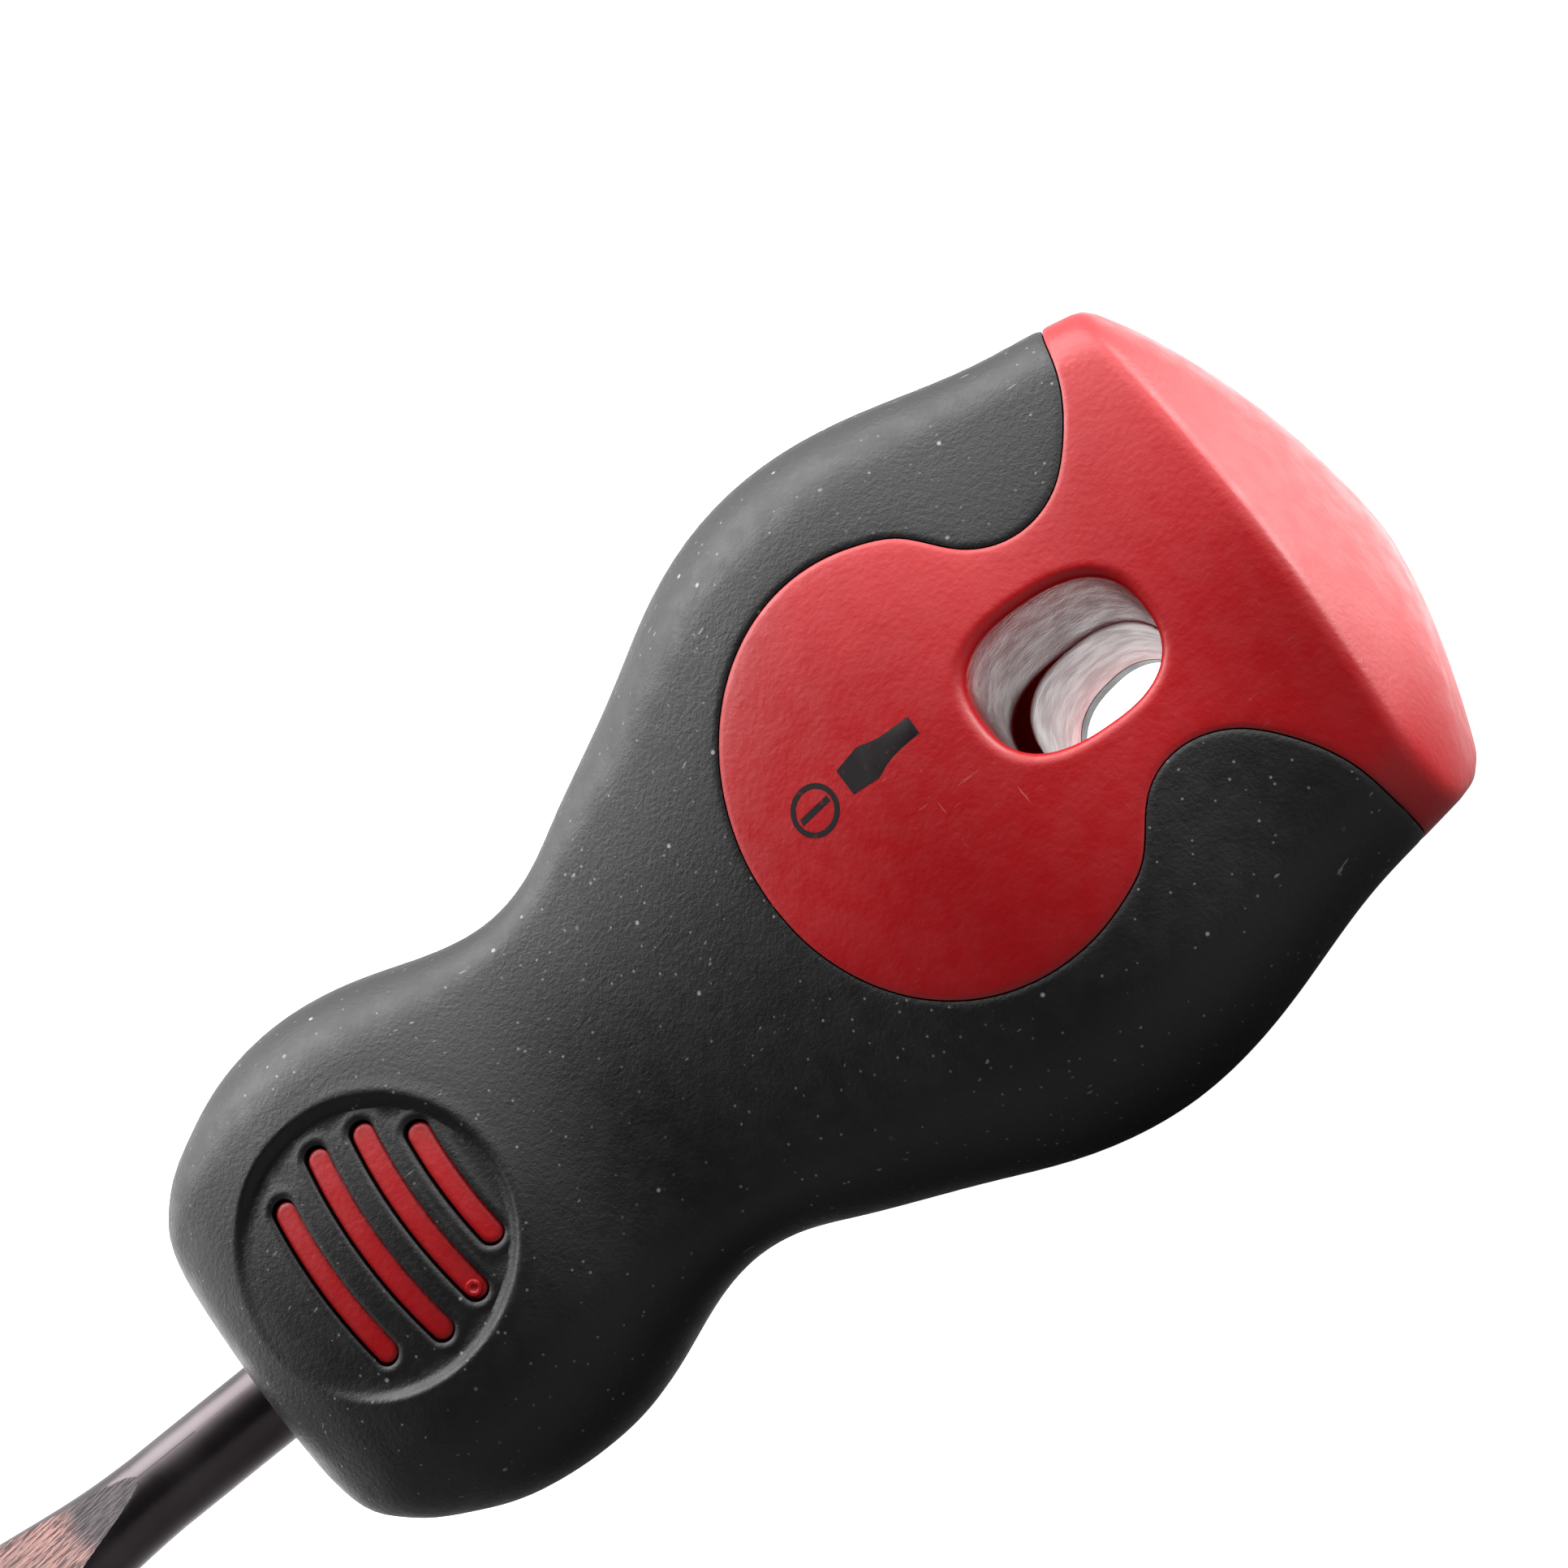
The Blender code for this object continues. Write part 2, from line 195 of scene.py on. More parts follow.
EXIT_TURN = 4               # the corner that the hole leaves through
HOLE_POINTS = 150
NUB_POINTS = 24
FLAT_STEPS = 20
EDGE_STEPS = 28
SEAM_OFFSETS = (-0.42, -0.26, -0.14, -0.05, 0.0, 0.03, 0.1, 0.2, 0.36)
MEDALLION_OFFSETS = (-0.5, -0.3, -0.12, 0.0, 0.1, 0.2, 0.32, 0.46, 0.7)
SLOT_OFFSETS = (-0.5, -0.36, -0.22, -0.1, -0.04, 0.0)
RIB_OFFSETS = (-0.1, 0.0, 0.08, 0.2, 0.34)
NUB_SHARES = (0.3, 0.5, 0.8, 1.0)
MOUTH_OFFSETS = (0.0, 0.02, 0.06, 0.12, 0.2, 0.3, 0.42, 0.56, 0.7, 0.9)
EXIT_OFFSETS = (0.0, 0.02, 0.07, 0.15, 0.26, 0.4, 0.56, 0.7)
NEAR_SHARES = (0.15, 0.35, 0.55, 0.75, 0.9)     # rings of the hole's wall, mouth to ledge
FAR_SHARES = (0.1, 0.3, 0.5, 0.7, 0.9)          # and ledge to far end
SIN60 = math.sin(math.radians(60))

# The surface's profile
GIRTH_SHARE = 0.84          # how much the spread counts in the length of the profile
PROFILE_STEP = 0.05
PROFILE_BLUR = 0.3
BLUR_REACH = 30
WALL_STEPS = 3000
DOME_STEPS = 900
APEX_SHARE = 0.99985
DOME_BULGE = 0.1
LEAST_SIZE = 0.002

# Colours
RED = ((0.42, 0.006, 0.0095), (0.48, 0.008, 0.0125))
RED_SCRATCHED = (0.75, 0.32, 0.33)
RUBBER = ((0.0062, 0.0056, 0.006), (0.0095, 0.0085, 0.0092))
DUST = (0.34, 0.32, 0.31)
OXIDE = ((0.08, 0.066, 0.07), (0.11, 0.094, 0.1))
COPPER_TINT = ((0.22, 0.125, 0.112), (0.16, 0.1, 0.096))
GROUND_GREY = (0.065, 0.058, 0.062)
SCORED = (0.035, 0.03, 0.032)
INK = (0.012, 0.009, 0.01)
INK_WORN = (0.12, 0.01, 0.013)
FLOOR_GREY = (0.1, 0.1, 0.1)
WHITE = (1.0, 1.0, 1.0)

# The stage, in metres
FLOOR_SIZE = 6.0
FLOOR_GAP = 0.0002
FLOOR_GLOW = (-0.012, 0.045, 0.01, 2.4)         # from y, to y, and the strength at each
VIEW_AZIMUTH = math.radians(7.52)
VIEW_ELEVATION = math.radians(13.88)
VIEW_ROLL = math.radians(-40.81)
VIEW_DISTANCE = 0.8
VIEW_AIM = Vector((0.07785, 0.0019, 0.00774))
VIEW_LENS = 365.2
LIGHT_AIM = (0.075, 0, 0)
LIGHTS = (                  # name, place, size, power
    ("overhead", (0.05, 0.17, 0.5), (0.9, 0.36), 5.0),
    ("butt_side", (0.6, 0.15, 0.15), (0.4, 0.4), 3.5),
)
DARK_SIDE = (-0.3, -0.88, -0.36)
SKY_BANDS = (               # from, to, and the strength at each, by how much a direction is DARK_SIDE's
    (-0.45, 0.35, 2.9, 0.01), (-0.95, -0.4, 0.32, 1.0),
)


def to_metres(points):
    return np.asarray(points, float) * 0.001


# ---------------------------------------------------------------- smooth curves

def spline(knots, values, places):
    """Natural cubic spline through values at knots, read at places."""
    knots, values, places = (np.asarray(item, float) for item in (knots, values, places))
    steps = np.diff(knots)
    count = len(knots)
    matrix = np.eye(count)
    right = np.zeros(count)
    for i in range(1, count - 1):
        matrix[i, i - 1:i + 2] = steps[i - 1], 2 * (steps[i - 1] + steps[i]), steps[i]
        slope = (values[i + 1] - values[i]) / steps[i] - (values[i] - values[i - 1]) / steps[i - 1]
        right[i] = 6 * slope
    bend = np.linalg.solve(matrix, right)
    i = np.clip(np.searchsorted(knots, places) - 1, 0, count - 2)
    h = steps[i]
    low = (knots[i + 1] - places) / h
    high = (places - knots[i]) / h
    return (low * values[i] + high * values[i + 1]
            + ((low ** 3 - low) * bend[i] + (high ** 3 - high) * bend[i + 1]) * h * h / 6)


def smooth_through(points, spacing):
    """Evenly spaced points on a smooth curve through the given ones."""
    points = np.asarray(points, float)
    chord = np.concatenate([[0], np.cumsum(np.hypot(*np.diff(points, axis=0).T))])
    dense = np.linspace(0, chord[-1], int(chord[-1] / DENSE) + 2)
    curve = np.stack([spline(chord, points[:, i], dense) for i in range(points.shape[1])], 1)
    length = np.concatenate([[0], np.cumsum(np.hypot(*np.diff(curve, axis=0).T))])
    even = np.linspace(0, length[-1], int(round(length[-1] / spacing)) + 1)
    return np.stack([np.interp(even, length, curve[:, i]) for i in range(points.shape[1])], 1)


# ---------------------------------------------------------------- the handle's surface

def make_profile():
    """Even distances along the surface, shank to butt, and (place, spread, radius, arch) at each."""
    rows = np.array([(*row, RIM_ARCH * max(0.0, (row[0] - ARCH_START) / (RIM - ARCH_START)) ** 2)
                     for row in SECTIONS])
    girth = GIRTH_SHARE * rows[:, 1] + rows[:, 2]
    chord = np.concatenate([[0], np.cumsum(np.hypot(np.diff(rows[:, 0]), np.diff(girth)))])
    dense = np.linspace(0, chord[-1], WALL_STEPS)
    wall = np.stack([spline(chord, rows[:, i], dense) for i in range(4)], 1)
    share = 1 - (1 - np.linspace(0, 1, DOME_STEPS)[1:]) ** 2
    share[-1] = APEX_SHARE
    scale = np.sqrt(1 - share) * (1 + DOME_BULGE * share * (1 - share))
    last = SECTIONS[-1]
    dome = np.stack([RIM + (HANDLE_LENGTH - RIM) * share, last[1] * scale, last[2] * scale,
                     RIM_ARCH * (1 - share) ** 2], 1)
    whole = np.vstack([wall, dome])
    girth = GIRTH_SHARE * whole[:, 1] + whole[:, 2]
    travel = np.concatenate([[0], np.cumsum(np.hypot(np.diff(whole[:, 0]), np.diff(girth)))])
    even = np.arange(0, travel[-1], PROFILE_STEP)
    whole = np.stack([np.interp(even, travel, whole[:, i]) for i in range(4)], 1)
    reach = BLUR_REACH
    kernel = np.exp(-0.5 * (np.arange(-reach, reach + 1) * PROFILE_STEP / PROFILE_BLUR) ** 2)
    kernel /= kernel.sum()
    for i in range(4):
        column = whole[:, i]
        before = 2 * column[0] - column[reach:0:-1]
        after = 2 * column[-1] - column[-2:-reach - 2:-1]
        whole[:, i] = np.convolve(np.concatenate([before, column, after]), kernel, "valid")
    whole[:, 1:3] = np.maximum(whole[:, 1:3], LEAST_SIZE)
    return even, whole


TRAVEL, PROFILE = make_profile()
END = TRAVEL[-1]


def at(travel):
    """Place, spread, radius and arch at a distance travelled along the surface."""
    return (np.interp(travel, TRAVEL, PROFILE[:, i]) for i in range(4))


def travel_at(place):
    """Distance travelled at a place along the axis, up to the rim."""
    rim = np.searchsorted(PROFILE[:, 0], RIM)
    return np.interp(place, PROFILE[:rim, 0], TRAVEL[:rim])


def half_side(travel):
    """Distance across from a side's middle to its corner."""
    _, spread, radius, _ = at(travel)
    return (spread + radius) * SIN60


def surface(travel, turn, depth=0.0, hole_pull=0.0):
    """Points on the handle, sunk by a depth. turn runs 0 to 6, with a side's middle at each odd number.

    hole_pull, 0 to 1, turns the direction of sinking from the surface's own to the hanging hole's.
    """
    travel, turn = np.broadcast_arrays(np.asarray(travel, float), np.asarray(turn, float))
    place, spread, radius, arch = at(travel)
    side = np.clip(np.floor(turn / 2), 0, 2).astype(int)
    across = (turn - 2 * side - 1) * (spread + radius) * SIN60
    behind = SIDE_CROWN * spread
    side_radius = radius + np.hypot(spread / 2 + behind, spread * SIN60)
    join = np.arctan2(spread * SIN60, spread / 2 + behind)
    on_side = np.abs(across) <= side_radius * np.sin(join)
    side_angle = np.arcsin(np.clip(across / side_radius, -1, 1))
    corner_angle = np.arcsin(np.clip((np.abs(across) - spread * SIN60) / radius, -1, 1))
    angle = np.where(on_side, side_angle, np.sign(across) * corner_angle)
    out = np.where(on_side, side_radius * np.cos(angle) - behind, spread / 2 + radius * np.cos(angle))
    reach = np.hypot(out, across)
    furthest = spread + radius
    nearest = side_radius - behind
    lift = arch * (furthest - reach) / np.maximum(furthest - nearest, TINY)
    face = np.radians(np.array(FACE_ANGLES))[side]
    y = out * np.cos(face) - across * np.sin(face)
    z = out * np.sin(face) + across * np.cos(face)
    inward = -np.stack([np.cos(face + angle), np.sin(face + angle)], -1)
    axis = np.array([math.cos(HOLE_ANGLE), math.sin(HOLE_ANGLE)])
    axis = np.where((inward @ axis)[..., None] < 0, -axis, axis)
    pull = np.broadcast_to(np.asarray(hole_pull, float), travel.shape)[..., None]
    inward = (1 - pull) * inward + pull * axis
    inward /= np.linalg.norm(inward, axis=-1, keepdims=True)
    depth = np.broadcast_to(np.asarray(depth, float), travel.shape)
    return np.stack([place + lift, y + depth * inward[..., 0], z + depth * inward[..., 1]], -1)


# ---------------------------------------------------------------- seams and recesses, (place, across)

def window_curve():
    """Half of a red window's edge, from the front of its disc to the corner."""
    arc = [(DISC_CENTRE + DISC_HALF_LENGTH * math.cos(math.radians(180 - ARC_STEP * i)),
            DISC_HALF_WIDTH * math.sin(math.radians(ARC_STEP * i))) for i in range(ARC_POINTS)]
    corner = float(half_side(travel_at(FINGER_TIP)))
    return smooth_through(arc + list(NECK) + [(FINGER_TIP, corner)], FINE)


WINDOW = window_curve()


def offset(curve, amount):
    """An open curve moved sideways; its first point keeps across 0 and its last keeps the corner."""
    tangent = np.gradient(curve, axis=0)
    tangent /= np.hypot(*tangent.T)[:, None]
    tangent[0] = 0, 1
    tangent[-1] = 0, 1
    return curve + np.stack([tangent[:, 1], -tangent[:, 0]], 1) * amount


def window_distance(place, across):
    """Distance into the red, negative on the black side of the seam."""
    across = np.abs(across)
    nearest = np.full(place.shape, FAR_AWAY)
    sign = np.ones(place.shape)
    tangent = np.gradient(WINDOW, axis=0)
    for start in range(0, len(place), CHUNK):
        rows = slice(start, start + CHUNK)
        gap = np.stack([place[rows, None] - WINDOW[None, :, 0], across[rows, None] - WINDOW[None, :, 1]], -1)
        squared = (gap ** 2).sum(-1)
        i = squared.argmin(1)
        pick = np.arange(len(i))
        side = gap[pick, i, 0] * tangent[i, 1] - gap[pick, i, 1] * tangent[i, 0]
        unit = np.hypot(*tangent[i].T)
        inner = (i > 0) & (i < len(WINDOW) - 1)
        beside = inner & (squared[pick, i] < BESIDE)
        nearest[rows] = np.where(beside, np.abs(side) / unit, np.sqrt(squared[pick, i]))
        sign[rows] = np.where(side >= 0, 1, -1)
    return nearest * sign


def medallion_distance(place, across):
    return MEDALLION_RADIUS - np.hypot(place - MEDALLION_CENTRE, across)


def slot_middle(slot, across, shift=0.0):
    return slot[0] + shift + SLOT_BOW * (across / SLOTS[1][1]) ** 2


def slot_distance(place, across, half_width=SLOT_HALF_WIDTH, shorter=0.0, shift=0.0):
    """Distance into the nearest slot or rib, negative outside."""
    best = np.full(place.shape, -FAR_AWAY)
    for slot in SLOTS:
        reach = slot[1] - shorter - SLOT_HALF_WIDTH
        held = np.clip(across, -reach, reach)
        gap = np.hypot(place - slot_middle(slot, held, shift), across - held)
        best = np.maximum(best, half_width - gap)
    return best


def slot_curve(slot, inward, shift=0.0):
    half = SLOT_HALF_WIDTH - inward
    reach = slot[1] - SLOT_HALF_WIDTH
    run = np.linspace(-reach, reach, int(2 * reach / FINE))
    ends = np.linspace(0, math.pi, max(6, int(math.pi * half / FINE)))[1:-1]
    front = np.stack([slot_middle(slot, run, shift) - half, run], 1)
    back = np.stack([slot_middle(slot, run[::-1], shift) + half, run[::-1]], 1)
    tip = slot_middle(slot, reach, shift)
    high = np.stack([tip - half * np.cos(ends), reach + half * np.sin(ends)], 1)
    low = np.stack([tip + half * np.cos(ends), -reach - half * np.sin(ends)], 1)
    return np.vstack([front, high, back, low])


def circle(centre, radius, count):
    angle = np.linspace(0, math.tau, count, endpoint=False)
    return np.stack([centre[0] + radius * np.cos(angle), centre[1] + radius * np.sin(angle)], 1)


def oval(half_length, half_width, count):
    angle = np.linspace(0, math.tau, count, endpoint=False)
    return np.stack([half_length * np.sign(np.cos(angle)) * np.abs(np.cos(angle)) ** HOLE_SQUARENESS,
                     half_width * np.sign(np.sin(angle)) * np.abs(np.sin(angle)) ** HOLE_SQUARENESS], 1)


def oval_distance(along, across, half_length, half_width):
    """How far outside an oval, by the even growth that reaches the point; negative inside."""
    low = np.full(along.shape, -min(half_length, half_width) + OVAL_LEAST)
    high = np.full(along.shape, OVAL_MOST)
    power = 2 / HOLE_SQUARENESS
    for _ in range(HALVINGS):
        middle = (low + high) / 2
        size = ((np.abs(along) / (half_length + middle)) ** power
                + (np.abs(across) / (half_width + middle)) ** power)
        outside = size > 1
        low = np.where(outside, middle, low)
        high = np.where(outside, high, middle)
    return (low + high) / 2


def smooth_step(value):
    value = np.clip(value, 0, 1)
    return value * value * (3 - 2 * value)


def fillet(distance, radius):
    """How deep a rounded edge of a radius is sunk at a distance from its foot."""
    left = np.clip(radius - distance, 0, radius)
    return radius - np.sqrt(radius * radius - left * left)


def shoulder(distance, width, depth):
    """How deep an edge that rounds down is sunk at a distance from it."""
    return depth * (1 - np.clip(distance / width, 0, 1)) ** 2


def lip(distance, middle, width, height):
    """The height of a raised line, at a distance from an edge."""
    return height * np.exp(-((distance - middle) / width) ** 2)


# ---------------------------------------------------------------- the flat layout and its triangles

def flat(place, across, side):
    travel = travel_at(place)
    return np.stack([travel, 2 * side + 1 + across / half_side(travel)], -1)


def exit_turn(travel, sideways):
    """Where round the handle a point sits whose distance sideways from the hole's axis is given."""
    low = np.full(travel.shape, EXIT_TURN - 0.7)
    high = np.full(travel.shape, EXIT_TURN + 0.7)
    ends = [surface(HOLE_MOUTH_CENTRE[0], EXIT_TURN + aside)[1:] @ HOLE_SIDEWAYS for aside in (-0.4, 0.4)]
    rising = ends[1] > ends[0]
    for _ in range(HALVINGS):
        middle = (low + high) / 2
        reached = surface(travel, middle)[..., 1:] @ HOLE_SIDEWAYS
        beyond = (reached > sideways) == rising
        high = np.where(beyond, middle, high)
        low = np.where(beyond, low, middle)
    return (low + high) / 2


def seam_loop(amount):
    """A seam offset by an amount, once round the handle from turn 0 to the last."""
    half = offset(WINDOW, amount)
    keep = np.concatenate([[True], half[1:-1, 1] > LEAST_ACROSS, [True]])
    half = half[keep]
    corner = float(half_side(travel_at(half[-1, 0])))
    half[-1, 1] = corner
    rows = []
    for side in range(3):
        whole = np.vstack([half[::-1] * (1, -1), half[1:]])
        whole[0, 1] = -corner
        points = flat(whole[:, 0], whole[:, 1], side)
        points[0, 1] = 2 * side
        points[-1, 1] = 2 * side + 2
        rows.append(points if side == 0 else points[1:])
    return np.vstack(rows)


def rib_curve(slot, inward):
    short = (slot[0], slot[1] - RIB_SHORTER)
    return slot_curve(short, inward + SLOT_HALF_WIDTH - RIB_HALF_WIDTH, RIB_SHIFT)


def hole_loop(halves, amount, exit_side):
    outline = oval(halves[0] + amount, halves[1] + amount, HOLE_POINTS)
    outline += HOLE_EXIT_CENTRE if exit_side else HOLE_MOUTH_CENTRE
    if not exit_side:
        return flat(outline[:, 0], outline[:, 1], 0)
    travel = travel_at(outline[:, 0])
    return np.stack([travel, exit_turn(travel, outline[:, 1])], -1)


class Layout:
    """Triangles over the flat layout of the handle's surface, with every seam along their edges."""

    def __init__(self):
        self.points = []
        self.edges = []
        self.seam_points = []
        self.loops = {}
        self.border = {0: {}, TURNS: {}}
        for amount in SEAM_OFFSETS:
            self.add(seam_loop(amount), False)
        for side in range(3):
            for inward in MEDALLION_OFFSETS:
                radius = MEDALLION_RADIUS - inward
                around = circle((MEDALLION_CENTRE, 0), radius, int(math.tau * radius / (FINE * 1.3)))
                self.add(flat(around[:, 0], around[:, 1], side))
            for slot in SLOTS:
                for inward in SLOT_OFFSETS:
                    curve = slot_curve(slot, inward)
                    self.add(flat(curve[:, 0], curve[:, 1], side))
                for inward in RIB_OFFSETS:
                    curve = rib_curve(slot, inward)
                    self.add(flat(curve[:, 0], curve[:, 1], side))
            for share in NUB_SHARES:
                around = circle((NUB_PLACE, NUB_ACROSS), share * NUB_RADIUS, NUB_POINTS)
                self.add(flat(around[:, 0], around[:, 1], side))
        for amount in MOUTH_OFFSETS:
            self.loops["mouth", amount] = self.add(hole_loop(HOLE_NEAR, amount, False))
        for amount in EXIT_OFFSETS:
            self.loops["exit", amount] = self.add(hole_loop(HOLE_EXIT, amount, True))
        self.add_grid()
        self.triangulate()

    def add(self, loop, closed=True):
        start = len(self.points)
        indices = list(range(start, start + len(loop)))
        self.points.extend(map(tuple, loop))
        self.seam_points.extend(map(tuple, loop))
        self.edges.extend(zip(indices, indices[1:]))
        if closed:
            self.edges.append((indices[-1], indices[0]))
        else:
            self.border[0][indices[0]] = loop[0, 0]
            self.border[TURNS][indices[-1]] = loop[-1, 0]
        return indices

    def add_grid(self):
        near = KDTree(len(self.seam_points))
        for i, (travel, turn) in enumerate(self.seam_points):
            near.insert((travel, turn * SPREAD, 0), i)
        near.balance()
        rows = np.linspace(0, END, int(END / CELL) + 1)
        columns = int(TURNS * SPREAD / CELL)
        for number, travel in enumerate(rows):
            shift = GRID_SHIFT if number % 2 else -GRID_SHIFT
            for column in range(columns + 1):
                turn = TURNS * column / columns
                inner = 0 < column < columns
                if inner and 0 < number < len(rows) - 1:
                    turn += shift * TURNS / columns
                gap = near.find((travel, turn * SPREAD, 0))[2]
                if gap < SEAM_CLEAR:
                    continue
                if column == 0:
                    self.border[0][len(self.points)] = travel
                elif column == columns:
                    self.border[TURNS][len(self.points)] = travel
                self.points.append((travel, turn))
        for chain in self.border.values():
            ordered = sorted(chain, key=chain.get)
            self.edges.extend(zip(ordered, ordered[1:]))

    def triangulate(self):
        spots = [Vector((travel, turn * SPREAD)) for travel, turn in self.points]
        found, _, faces, origins, _, _ = delaunay_2d_cdt(spots, self.edges, [], 0, WELD, True)
        self.travel = np.array([spot.x for spot in found])
        self.turn = np.clip(np.array([spot.y for spot in found]) / SPREAD, 0, TURNS)
        renamed = {}
        for new, old in enumerate(origins):
            for index in old:
                renamed[index] = new
        triangles = np.array([face for face in faces if len(face) == 3])
        self.centre_travel = self.travel[triangles].mean(1)
        self.centre_turn = self.turn[triangles].mean(1)
        last = {round(float(self.travel[i]), 3): i for i in np.flatnonzero(self.turn < WELD)}
        merged = np.arange(len(self.travel))
        for i in np.flatnonzero(self.turn > TURNS - WELD):
            merged[i] = last[round(float(self.travel[i]), 3)]
        self.triangles = merged[triangles]
        self.loops = {key: [int(merged[renamed[i]]) for i in loop] for key, loop in self.loops.items()}


# ---------------------------------------------------------------- pieces of the handle

def features(travel, turn):
    """Signed distances that shape the surface, at each of the given points."""
    place, _, _, _ = at(travel)
    side = np.clip(np.floor(turn / 2), 0, 2)
    across = (turn - 2 * side - 1) * half_side(travel)
    spots = surface(travel, turn)
    sideways = spots[:, 1:] @ HOLE_SIDEWAYS
    mouth = np.full(travel.shape, FAR_AWAY)
    out = np.full(travel.shape, FAR_AWAY)
    close = np.abs(place - HOLE_STEP_CENTRE[0]) < HOLE_REACH
    across_hole = np.stack([place, sideways], 1)
    rows = close & (turn < 2)
    mouth[rows] = oval_distance(*(across_hole[rows] - HOLE_MOUTH_CENTRE).T, *HOLE_NEAR)
    rows = close & (np.abs(turn - EXIT_TURN) < EXIT_REACH)
    out[rows] = oval_distance(*(across_hole[rows] - HOLE_EXIT_CENTRE).T, *HOLE_EXIT)
    return {
        "place": place, "across": across, "mouth": mouth, "exit": out,
        "window": window_distance(place, across), "medallion": medallion_distance(place, across),
        "slot": slot_distance(place, across),
        "rib": slot_distance(place, across, RIB_HALF_WIDTH, RIB_SHORTER, RIB_SHIFT),
        "reach": np.hypot(spots[:, 1], spots[:, 2]),
    }


def grip_depth(here):
    """How deep the grip's outside is sunk below the handle's plain surface."""
    depth = shoulder(-here["window"], *GRIP_SHOULDER)
    start, over, least = RECESS_FRONT
    fade = least + (1 - least) * smooth_step((here["place"] - start) / over)
    depth += MEDALLION_RECESS * fade * smooth_step(here["medallion"] / RECESS_WALL)
    rear = smooth_step((here["place"] - MEDALLION_CENTRE) / RECESS_LIP_OVER)
    depth -= rear * lip(here["medallion"], *RECESS_LIP)
    depth -= lip(-here["slot"], *SLOT_LIP)
    depth += shoulder(-here["slot"], *SLOT_SHOULDER)
    return depth + fillet(np.maximum(here["exit"], 0), EXIT_RADIUS)


def near_front(here, thickness, clearance):
    """A thickness that fades to a clearance round the shank at the front."""
    share = smooth_step((here["reach"] - SHANK_RADIUS) / FRONT_FADE)
    share = np.where(here["place"] < FRONT_LENGTH, share, 1)
    return thickness * share - clearance * (1 - share)


def body_depth(here):
    """How deep the body's outside is sunk: at the surface in the windows, under the grip elsewhere."""
    red = shoulder(here["window"], *BODY_SHOULDER)
    red += fillet(np.maximum(here["mouth"], 0), MOUTH_RADIUS)
    rib = RIB_DEPTH + shoulder(here["rib"], *RIB_SHOULDER)
    nub = np.hypot(here["place"] - NUB_PLACE, here["across"] - NUB_ACROSS)
    rib -= NUB_RIM * smooth_step((NUB_RADIUS - nub) / NUB_WALL)
    rib += NUB_PIT * smooth_step((NUB_RADIUS / 2 - nub) / NUB_WALL)
    core = np.where(here["rib"] > RIB_FROM, rib, near_front(here, CORE_DEPTH, CORE_CLEARANCE))
    return np.where(here["window"] > RED_FROM, red, core)


def pull(here):
    """How much a point sinks along the hanging hole instead of along the surface's own direction."""
    nearest = np.minimum(here["mouth"], here["exit"])
    start, over = HOLE_PULL
    return 1 - smooth_step((nearest - start) / over)


def sunk(layout, here, depth, front=0.0):
    points = surface(layout.travel, layout.turn, depth, pull(here))
    points[:, 0] = np.maximum(points[:, 0], front)
    points[:, 0] += FRONT
    return points


def make_piece(name, points, faces, material, second=None, second_faces=(), sharp=SHARP_ANGLE):
    """A piece from points in millimetres, smooth except at sharp edges."""
    mesh = bpy.data.meshes.new(name)
    mesh.from_pydata(to_metres(points).tolist(), [], [list(map(int, face)) for face in faces])
    mesh.validate()
    mesh.materials.append(material)
    if second:
        mesh.materials.append(second)
        for index in second_faces:
            mesh.polygons[index].material_index = 1
    work = bmesh.new()
    work.from_mesh(mesh)
    loose = [vert for vert in work.verts if not vert.link_faces]
    bmesh.ops.delete(work, geom=loose, context="VERTS")
    bmesh.ops.recalc_face_normals(work, faces=work.faces)
    work.to_mesh(mesh)
    work.free()
    mesh.shade_smooth()
    mesh.set_sharp_from_angle(angle=math.radians(sharp))
    piece = bpy.data.objects.new(name, mesh)
    bpy.context.scene.collection.objects.link(piece)
    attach(piece, "root")
    return piece


def rim_edges(triangles):
    """The edges that only one triangle has, each in that triangle's direction."""
    seen = {}
    for a, b, c in triangles.tolist():
        for edge in ((a, b), (b, c), (c, a)):
            seen[edge] = True
    return [edge for edge in seen if (edge[1], edge[0]) not in seen]


def make_grip(layout, here, middle, material):
    black = (middle["window"] < -BLACK_FROM) & (middle["slot"] < 0) & (middle["exit"] > 0)
    faces = layout.triangles[black]
    outer = sunk(layout, here, grip_depth(here))
    inner = sunk(layout, here, near_front(here, GRIP_THICKNESS, GRIP_CLEARANCE), FRONT_WALL)
    count = len(outer)
    walls = [(b, a, a + count, b + count) for a, b in rim_edges(faces)]
    whole = faces.tolist() + (faces[:, ::-1] + count).tolist() + walls
    return make_piece("soft_grip", np.vstack([outer, inner]), whole, material)


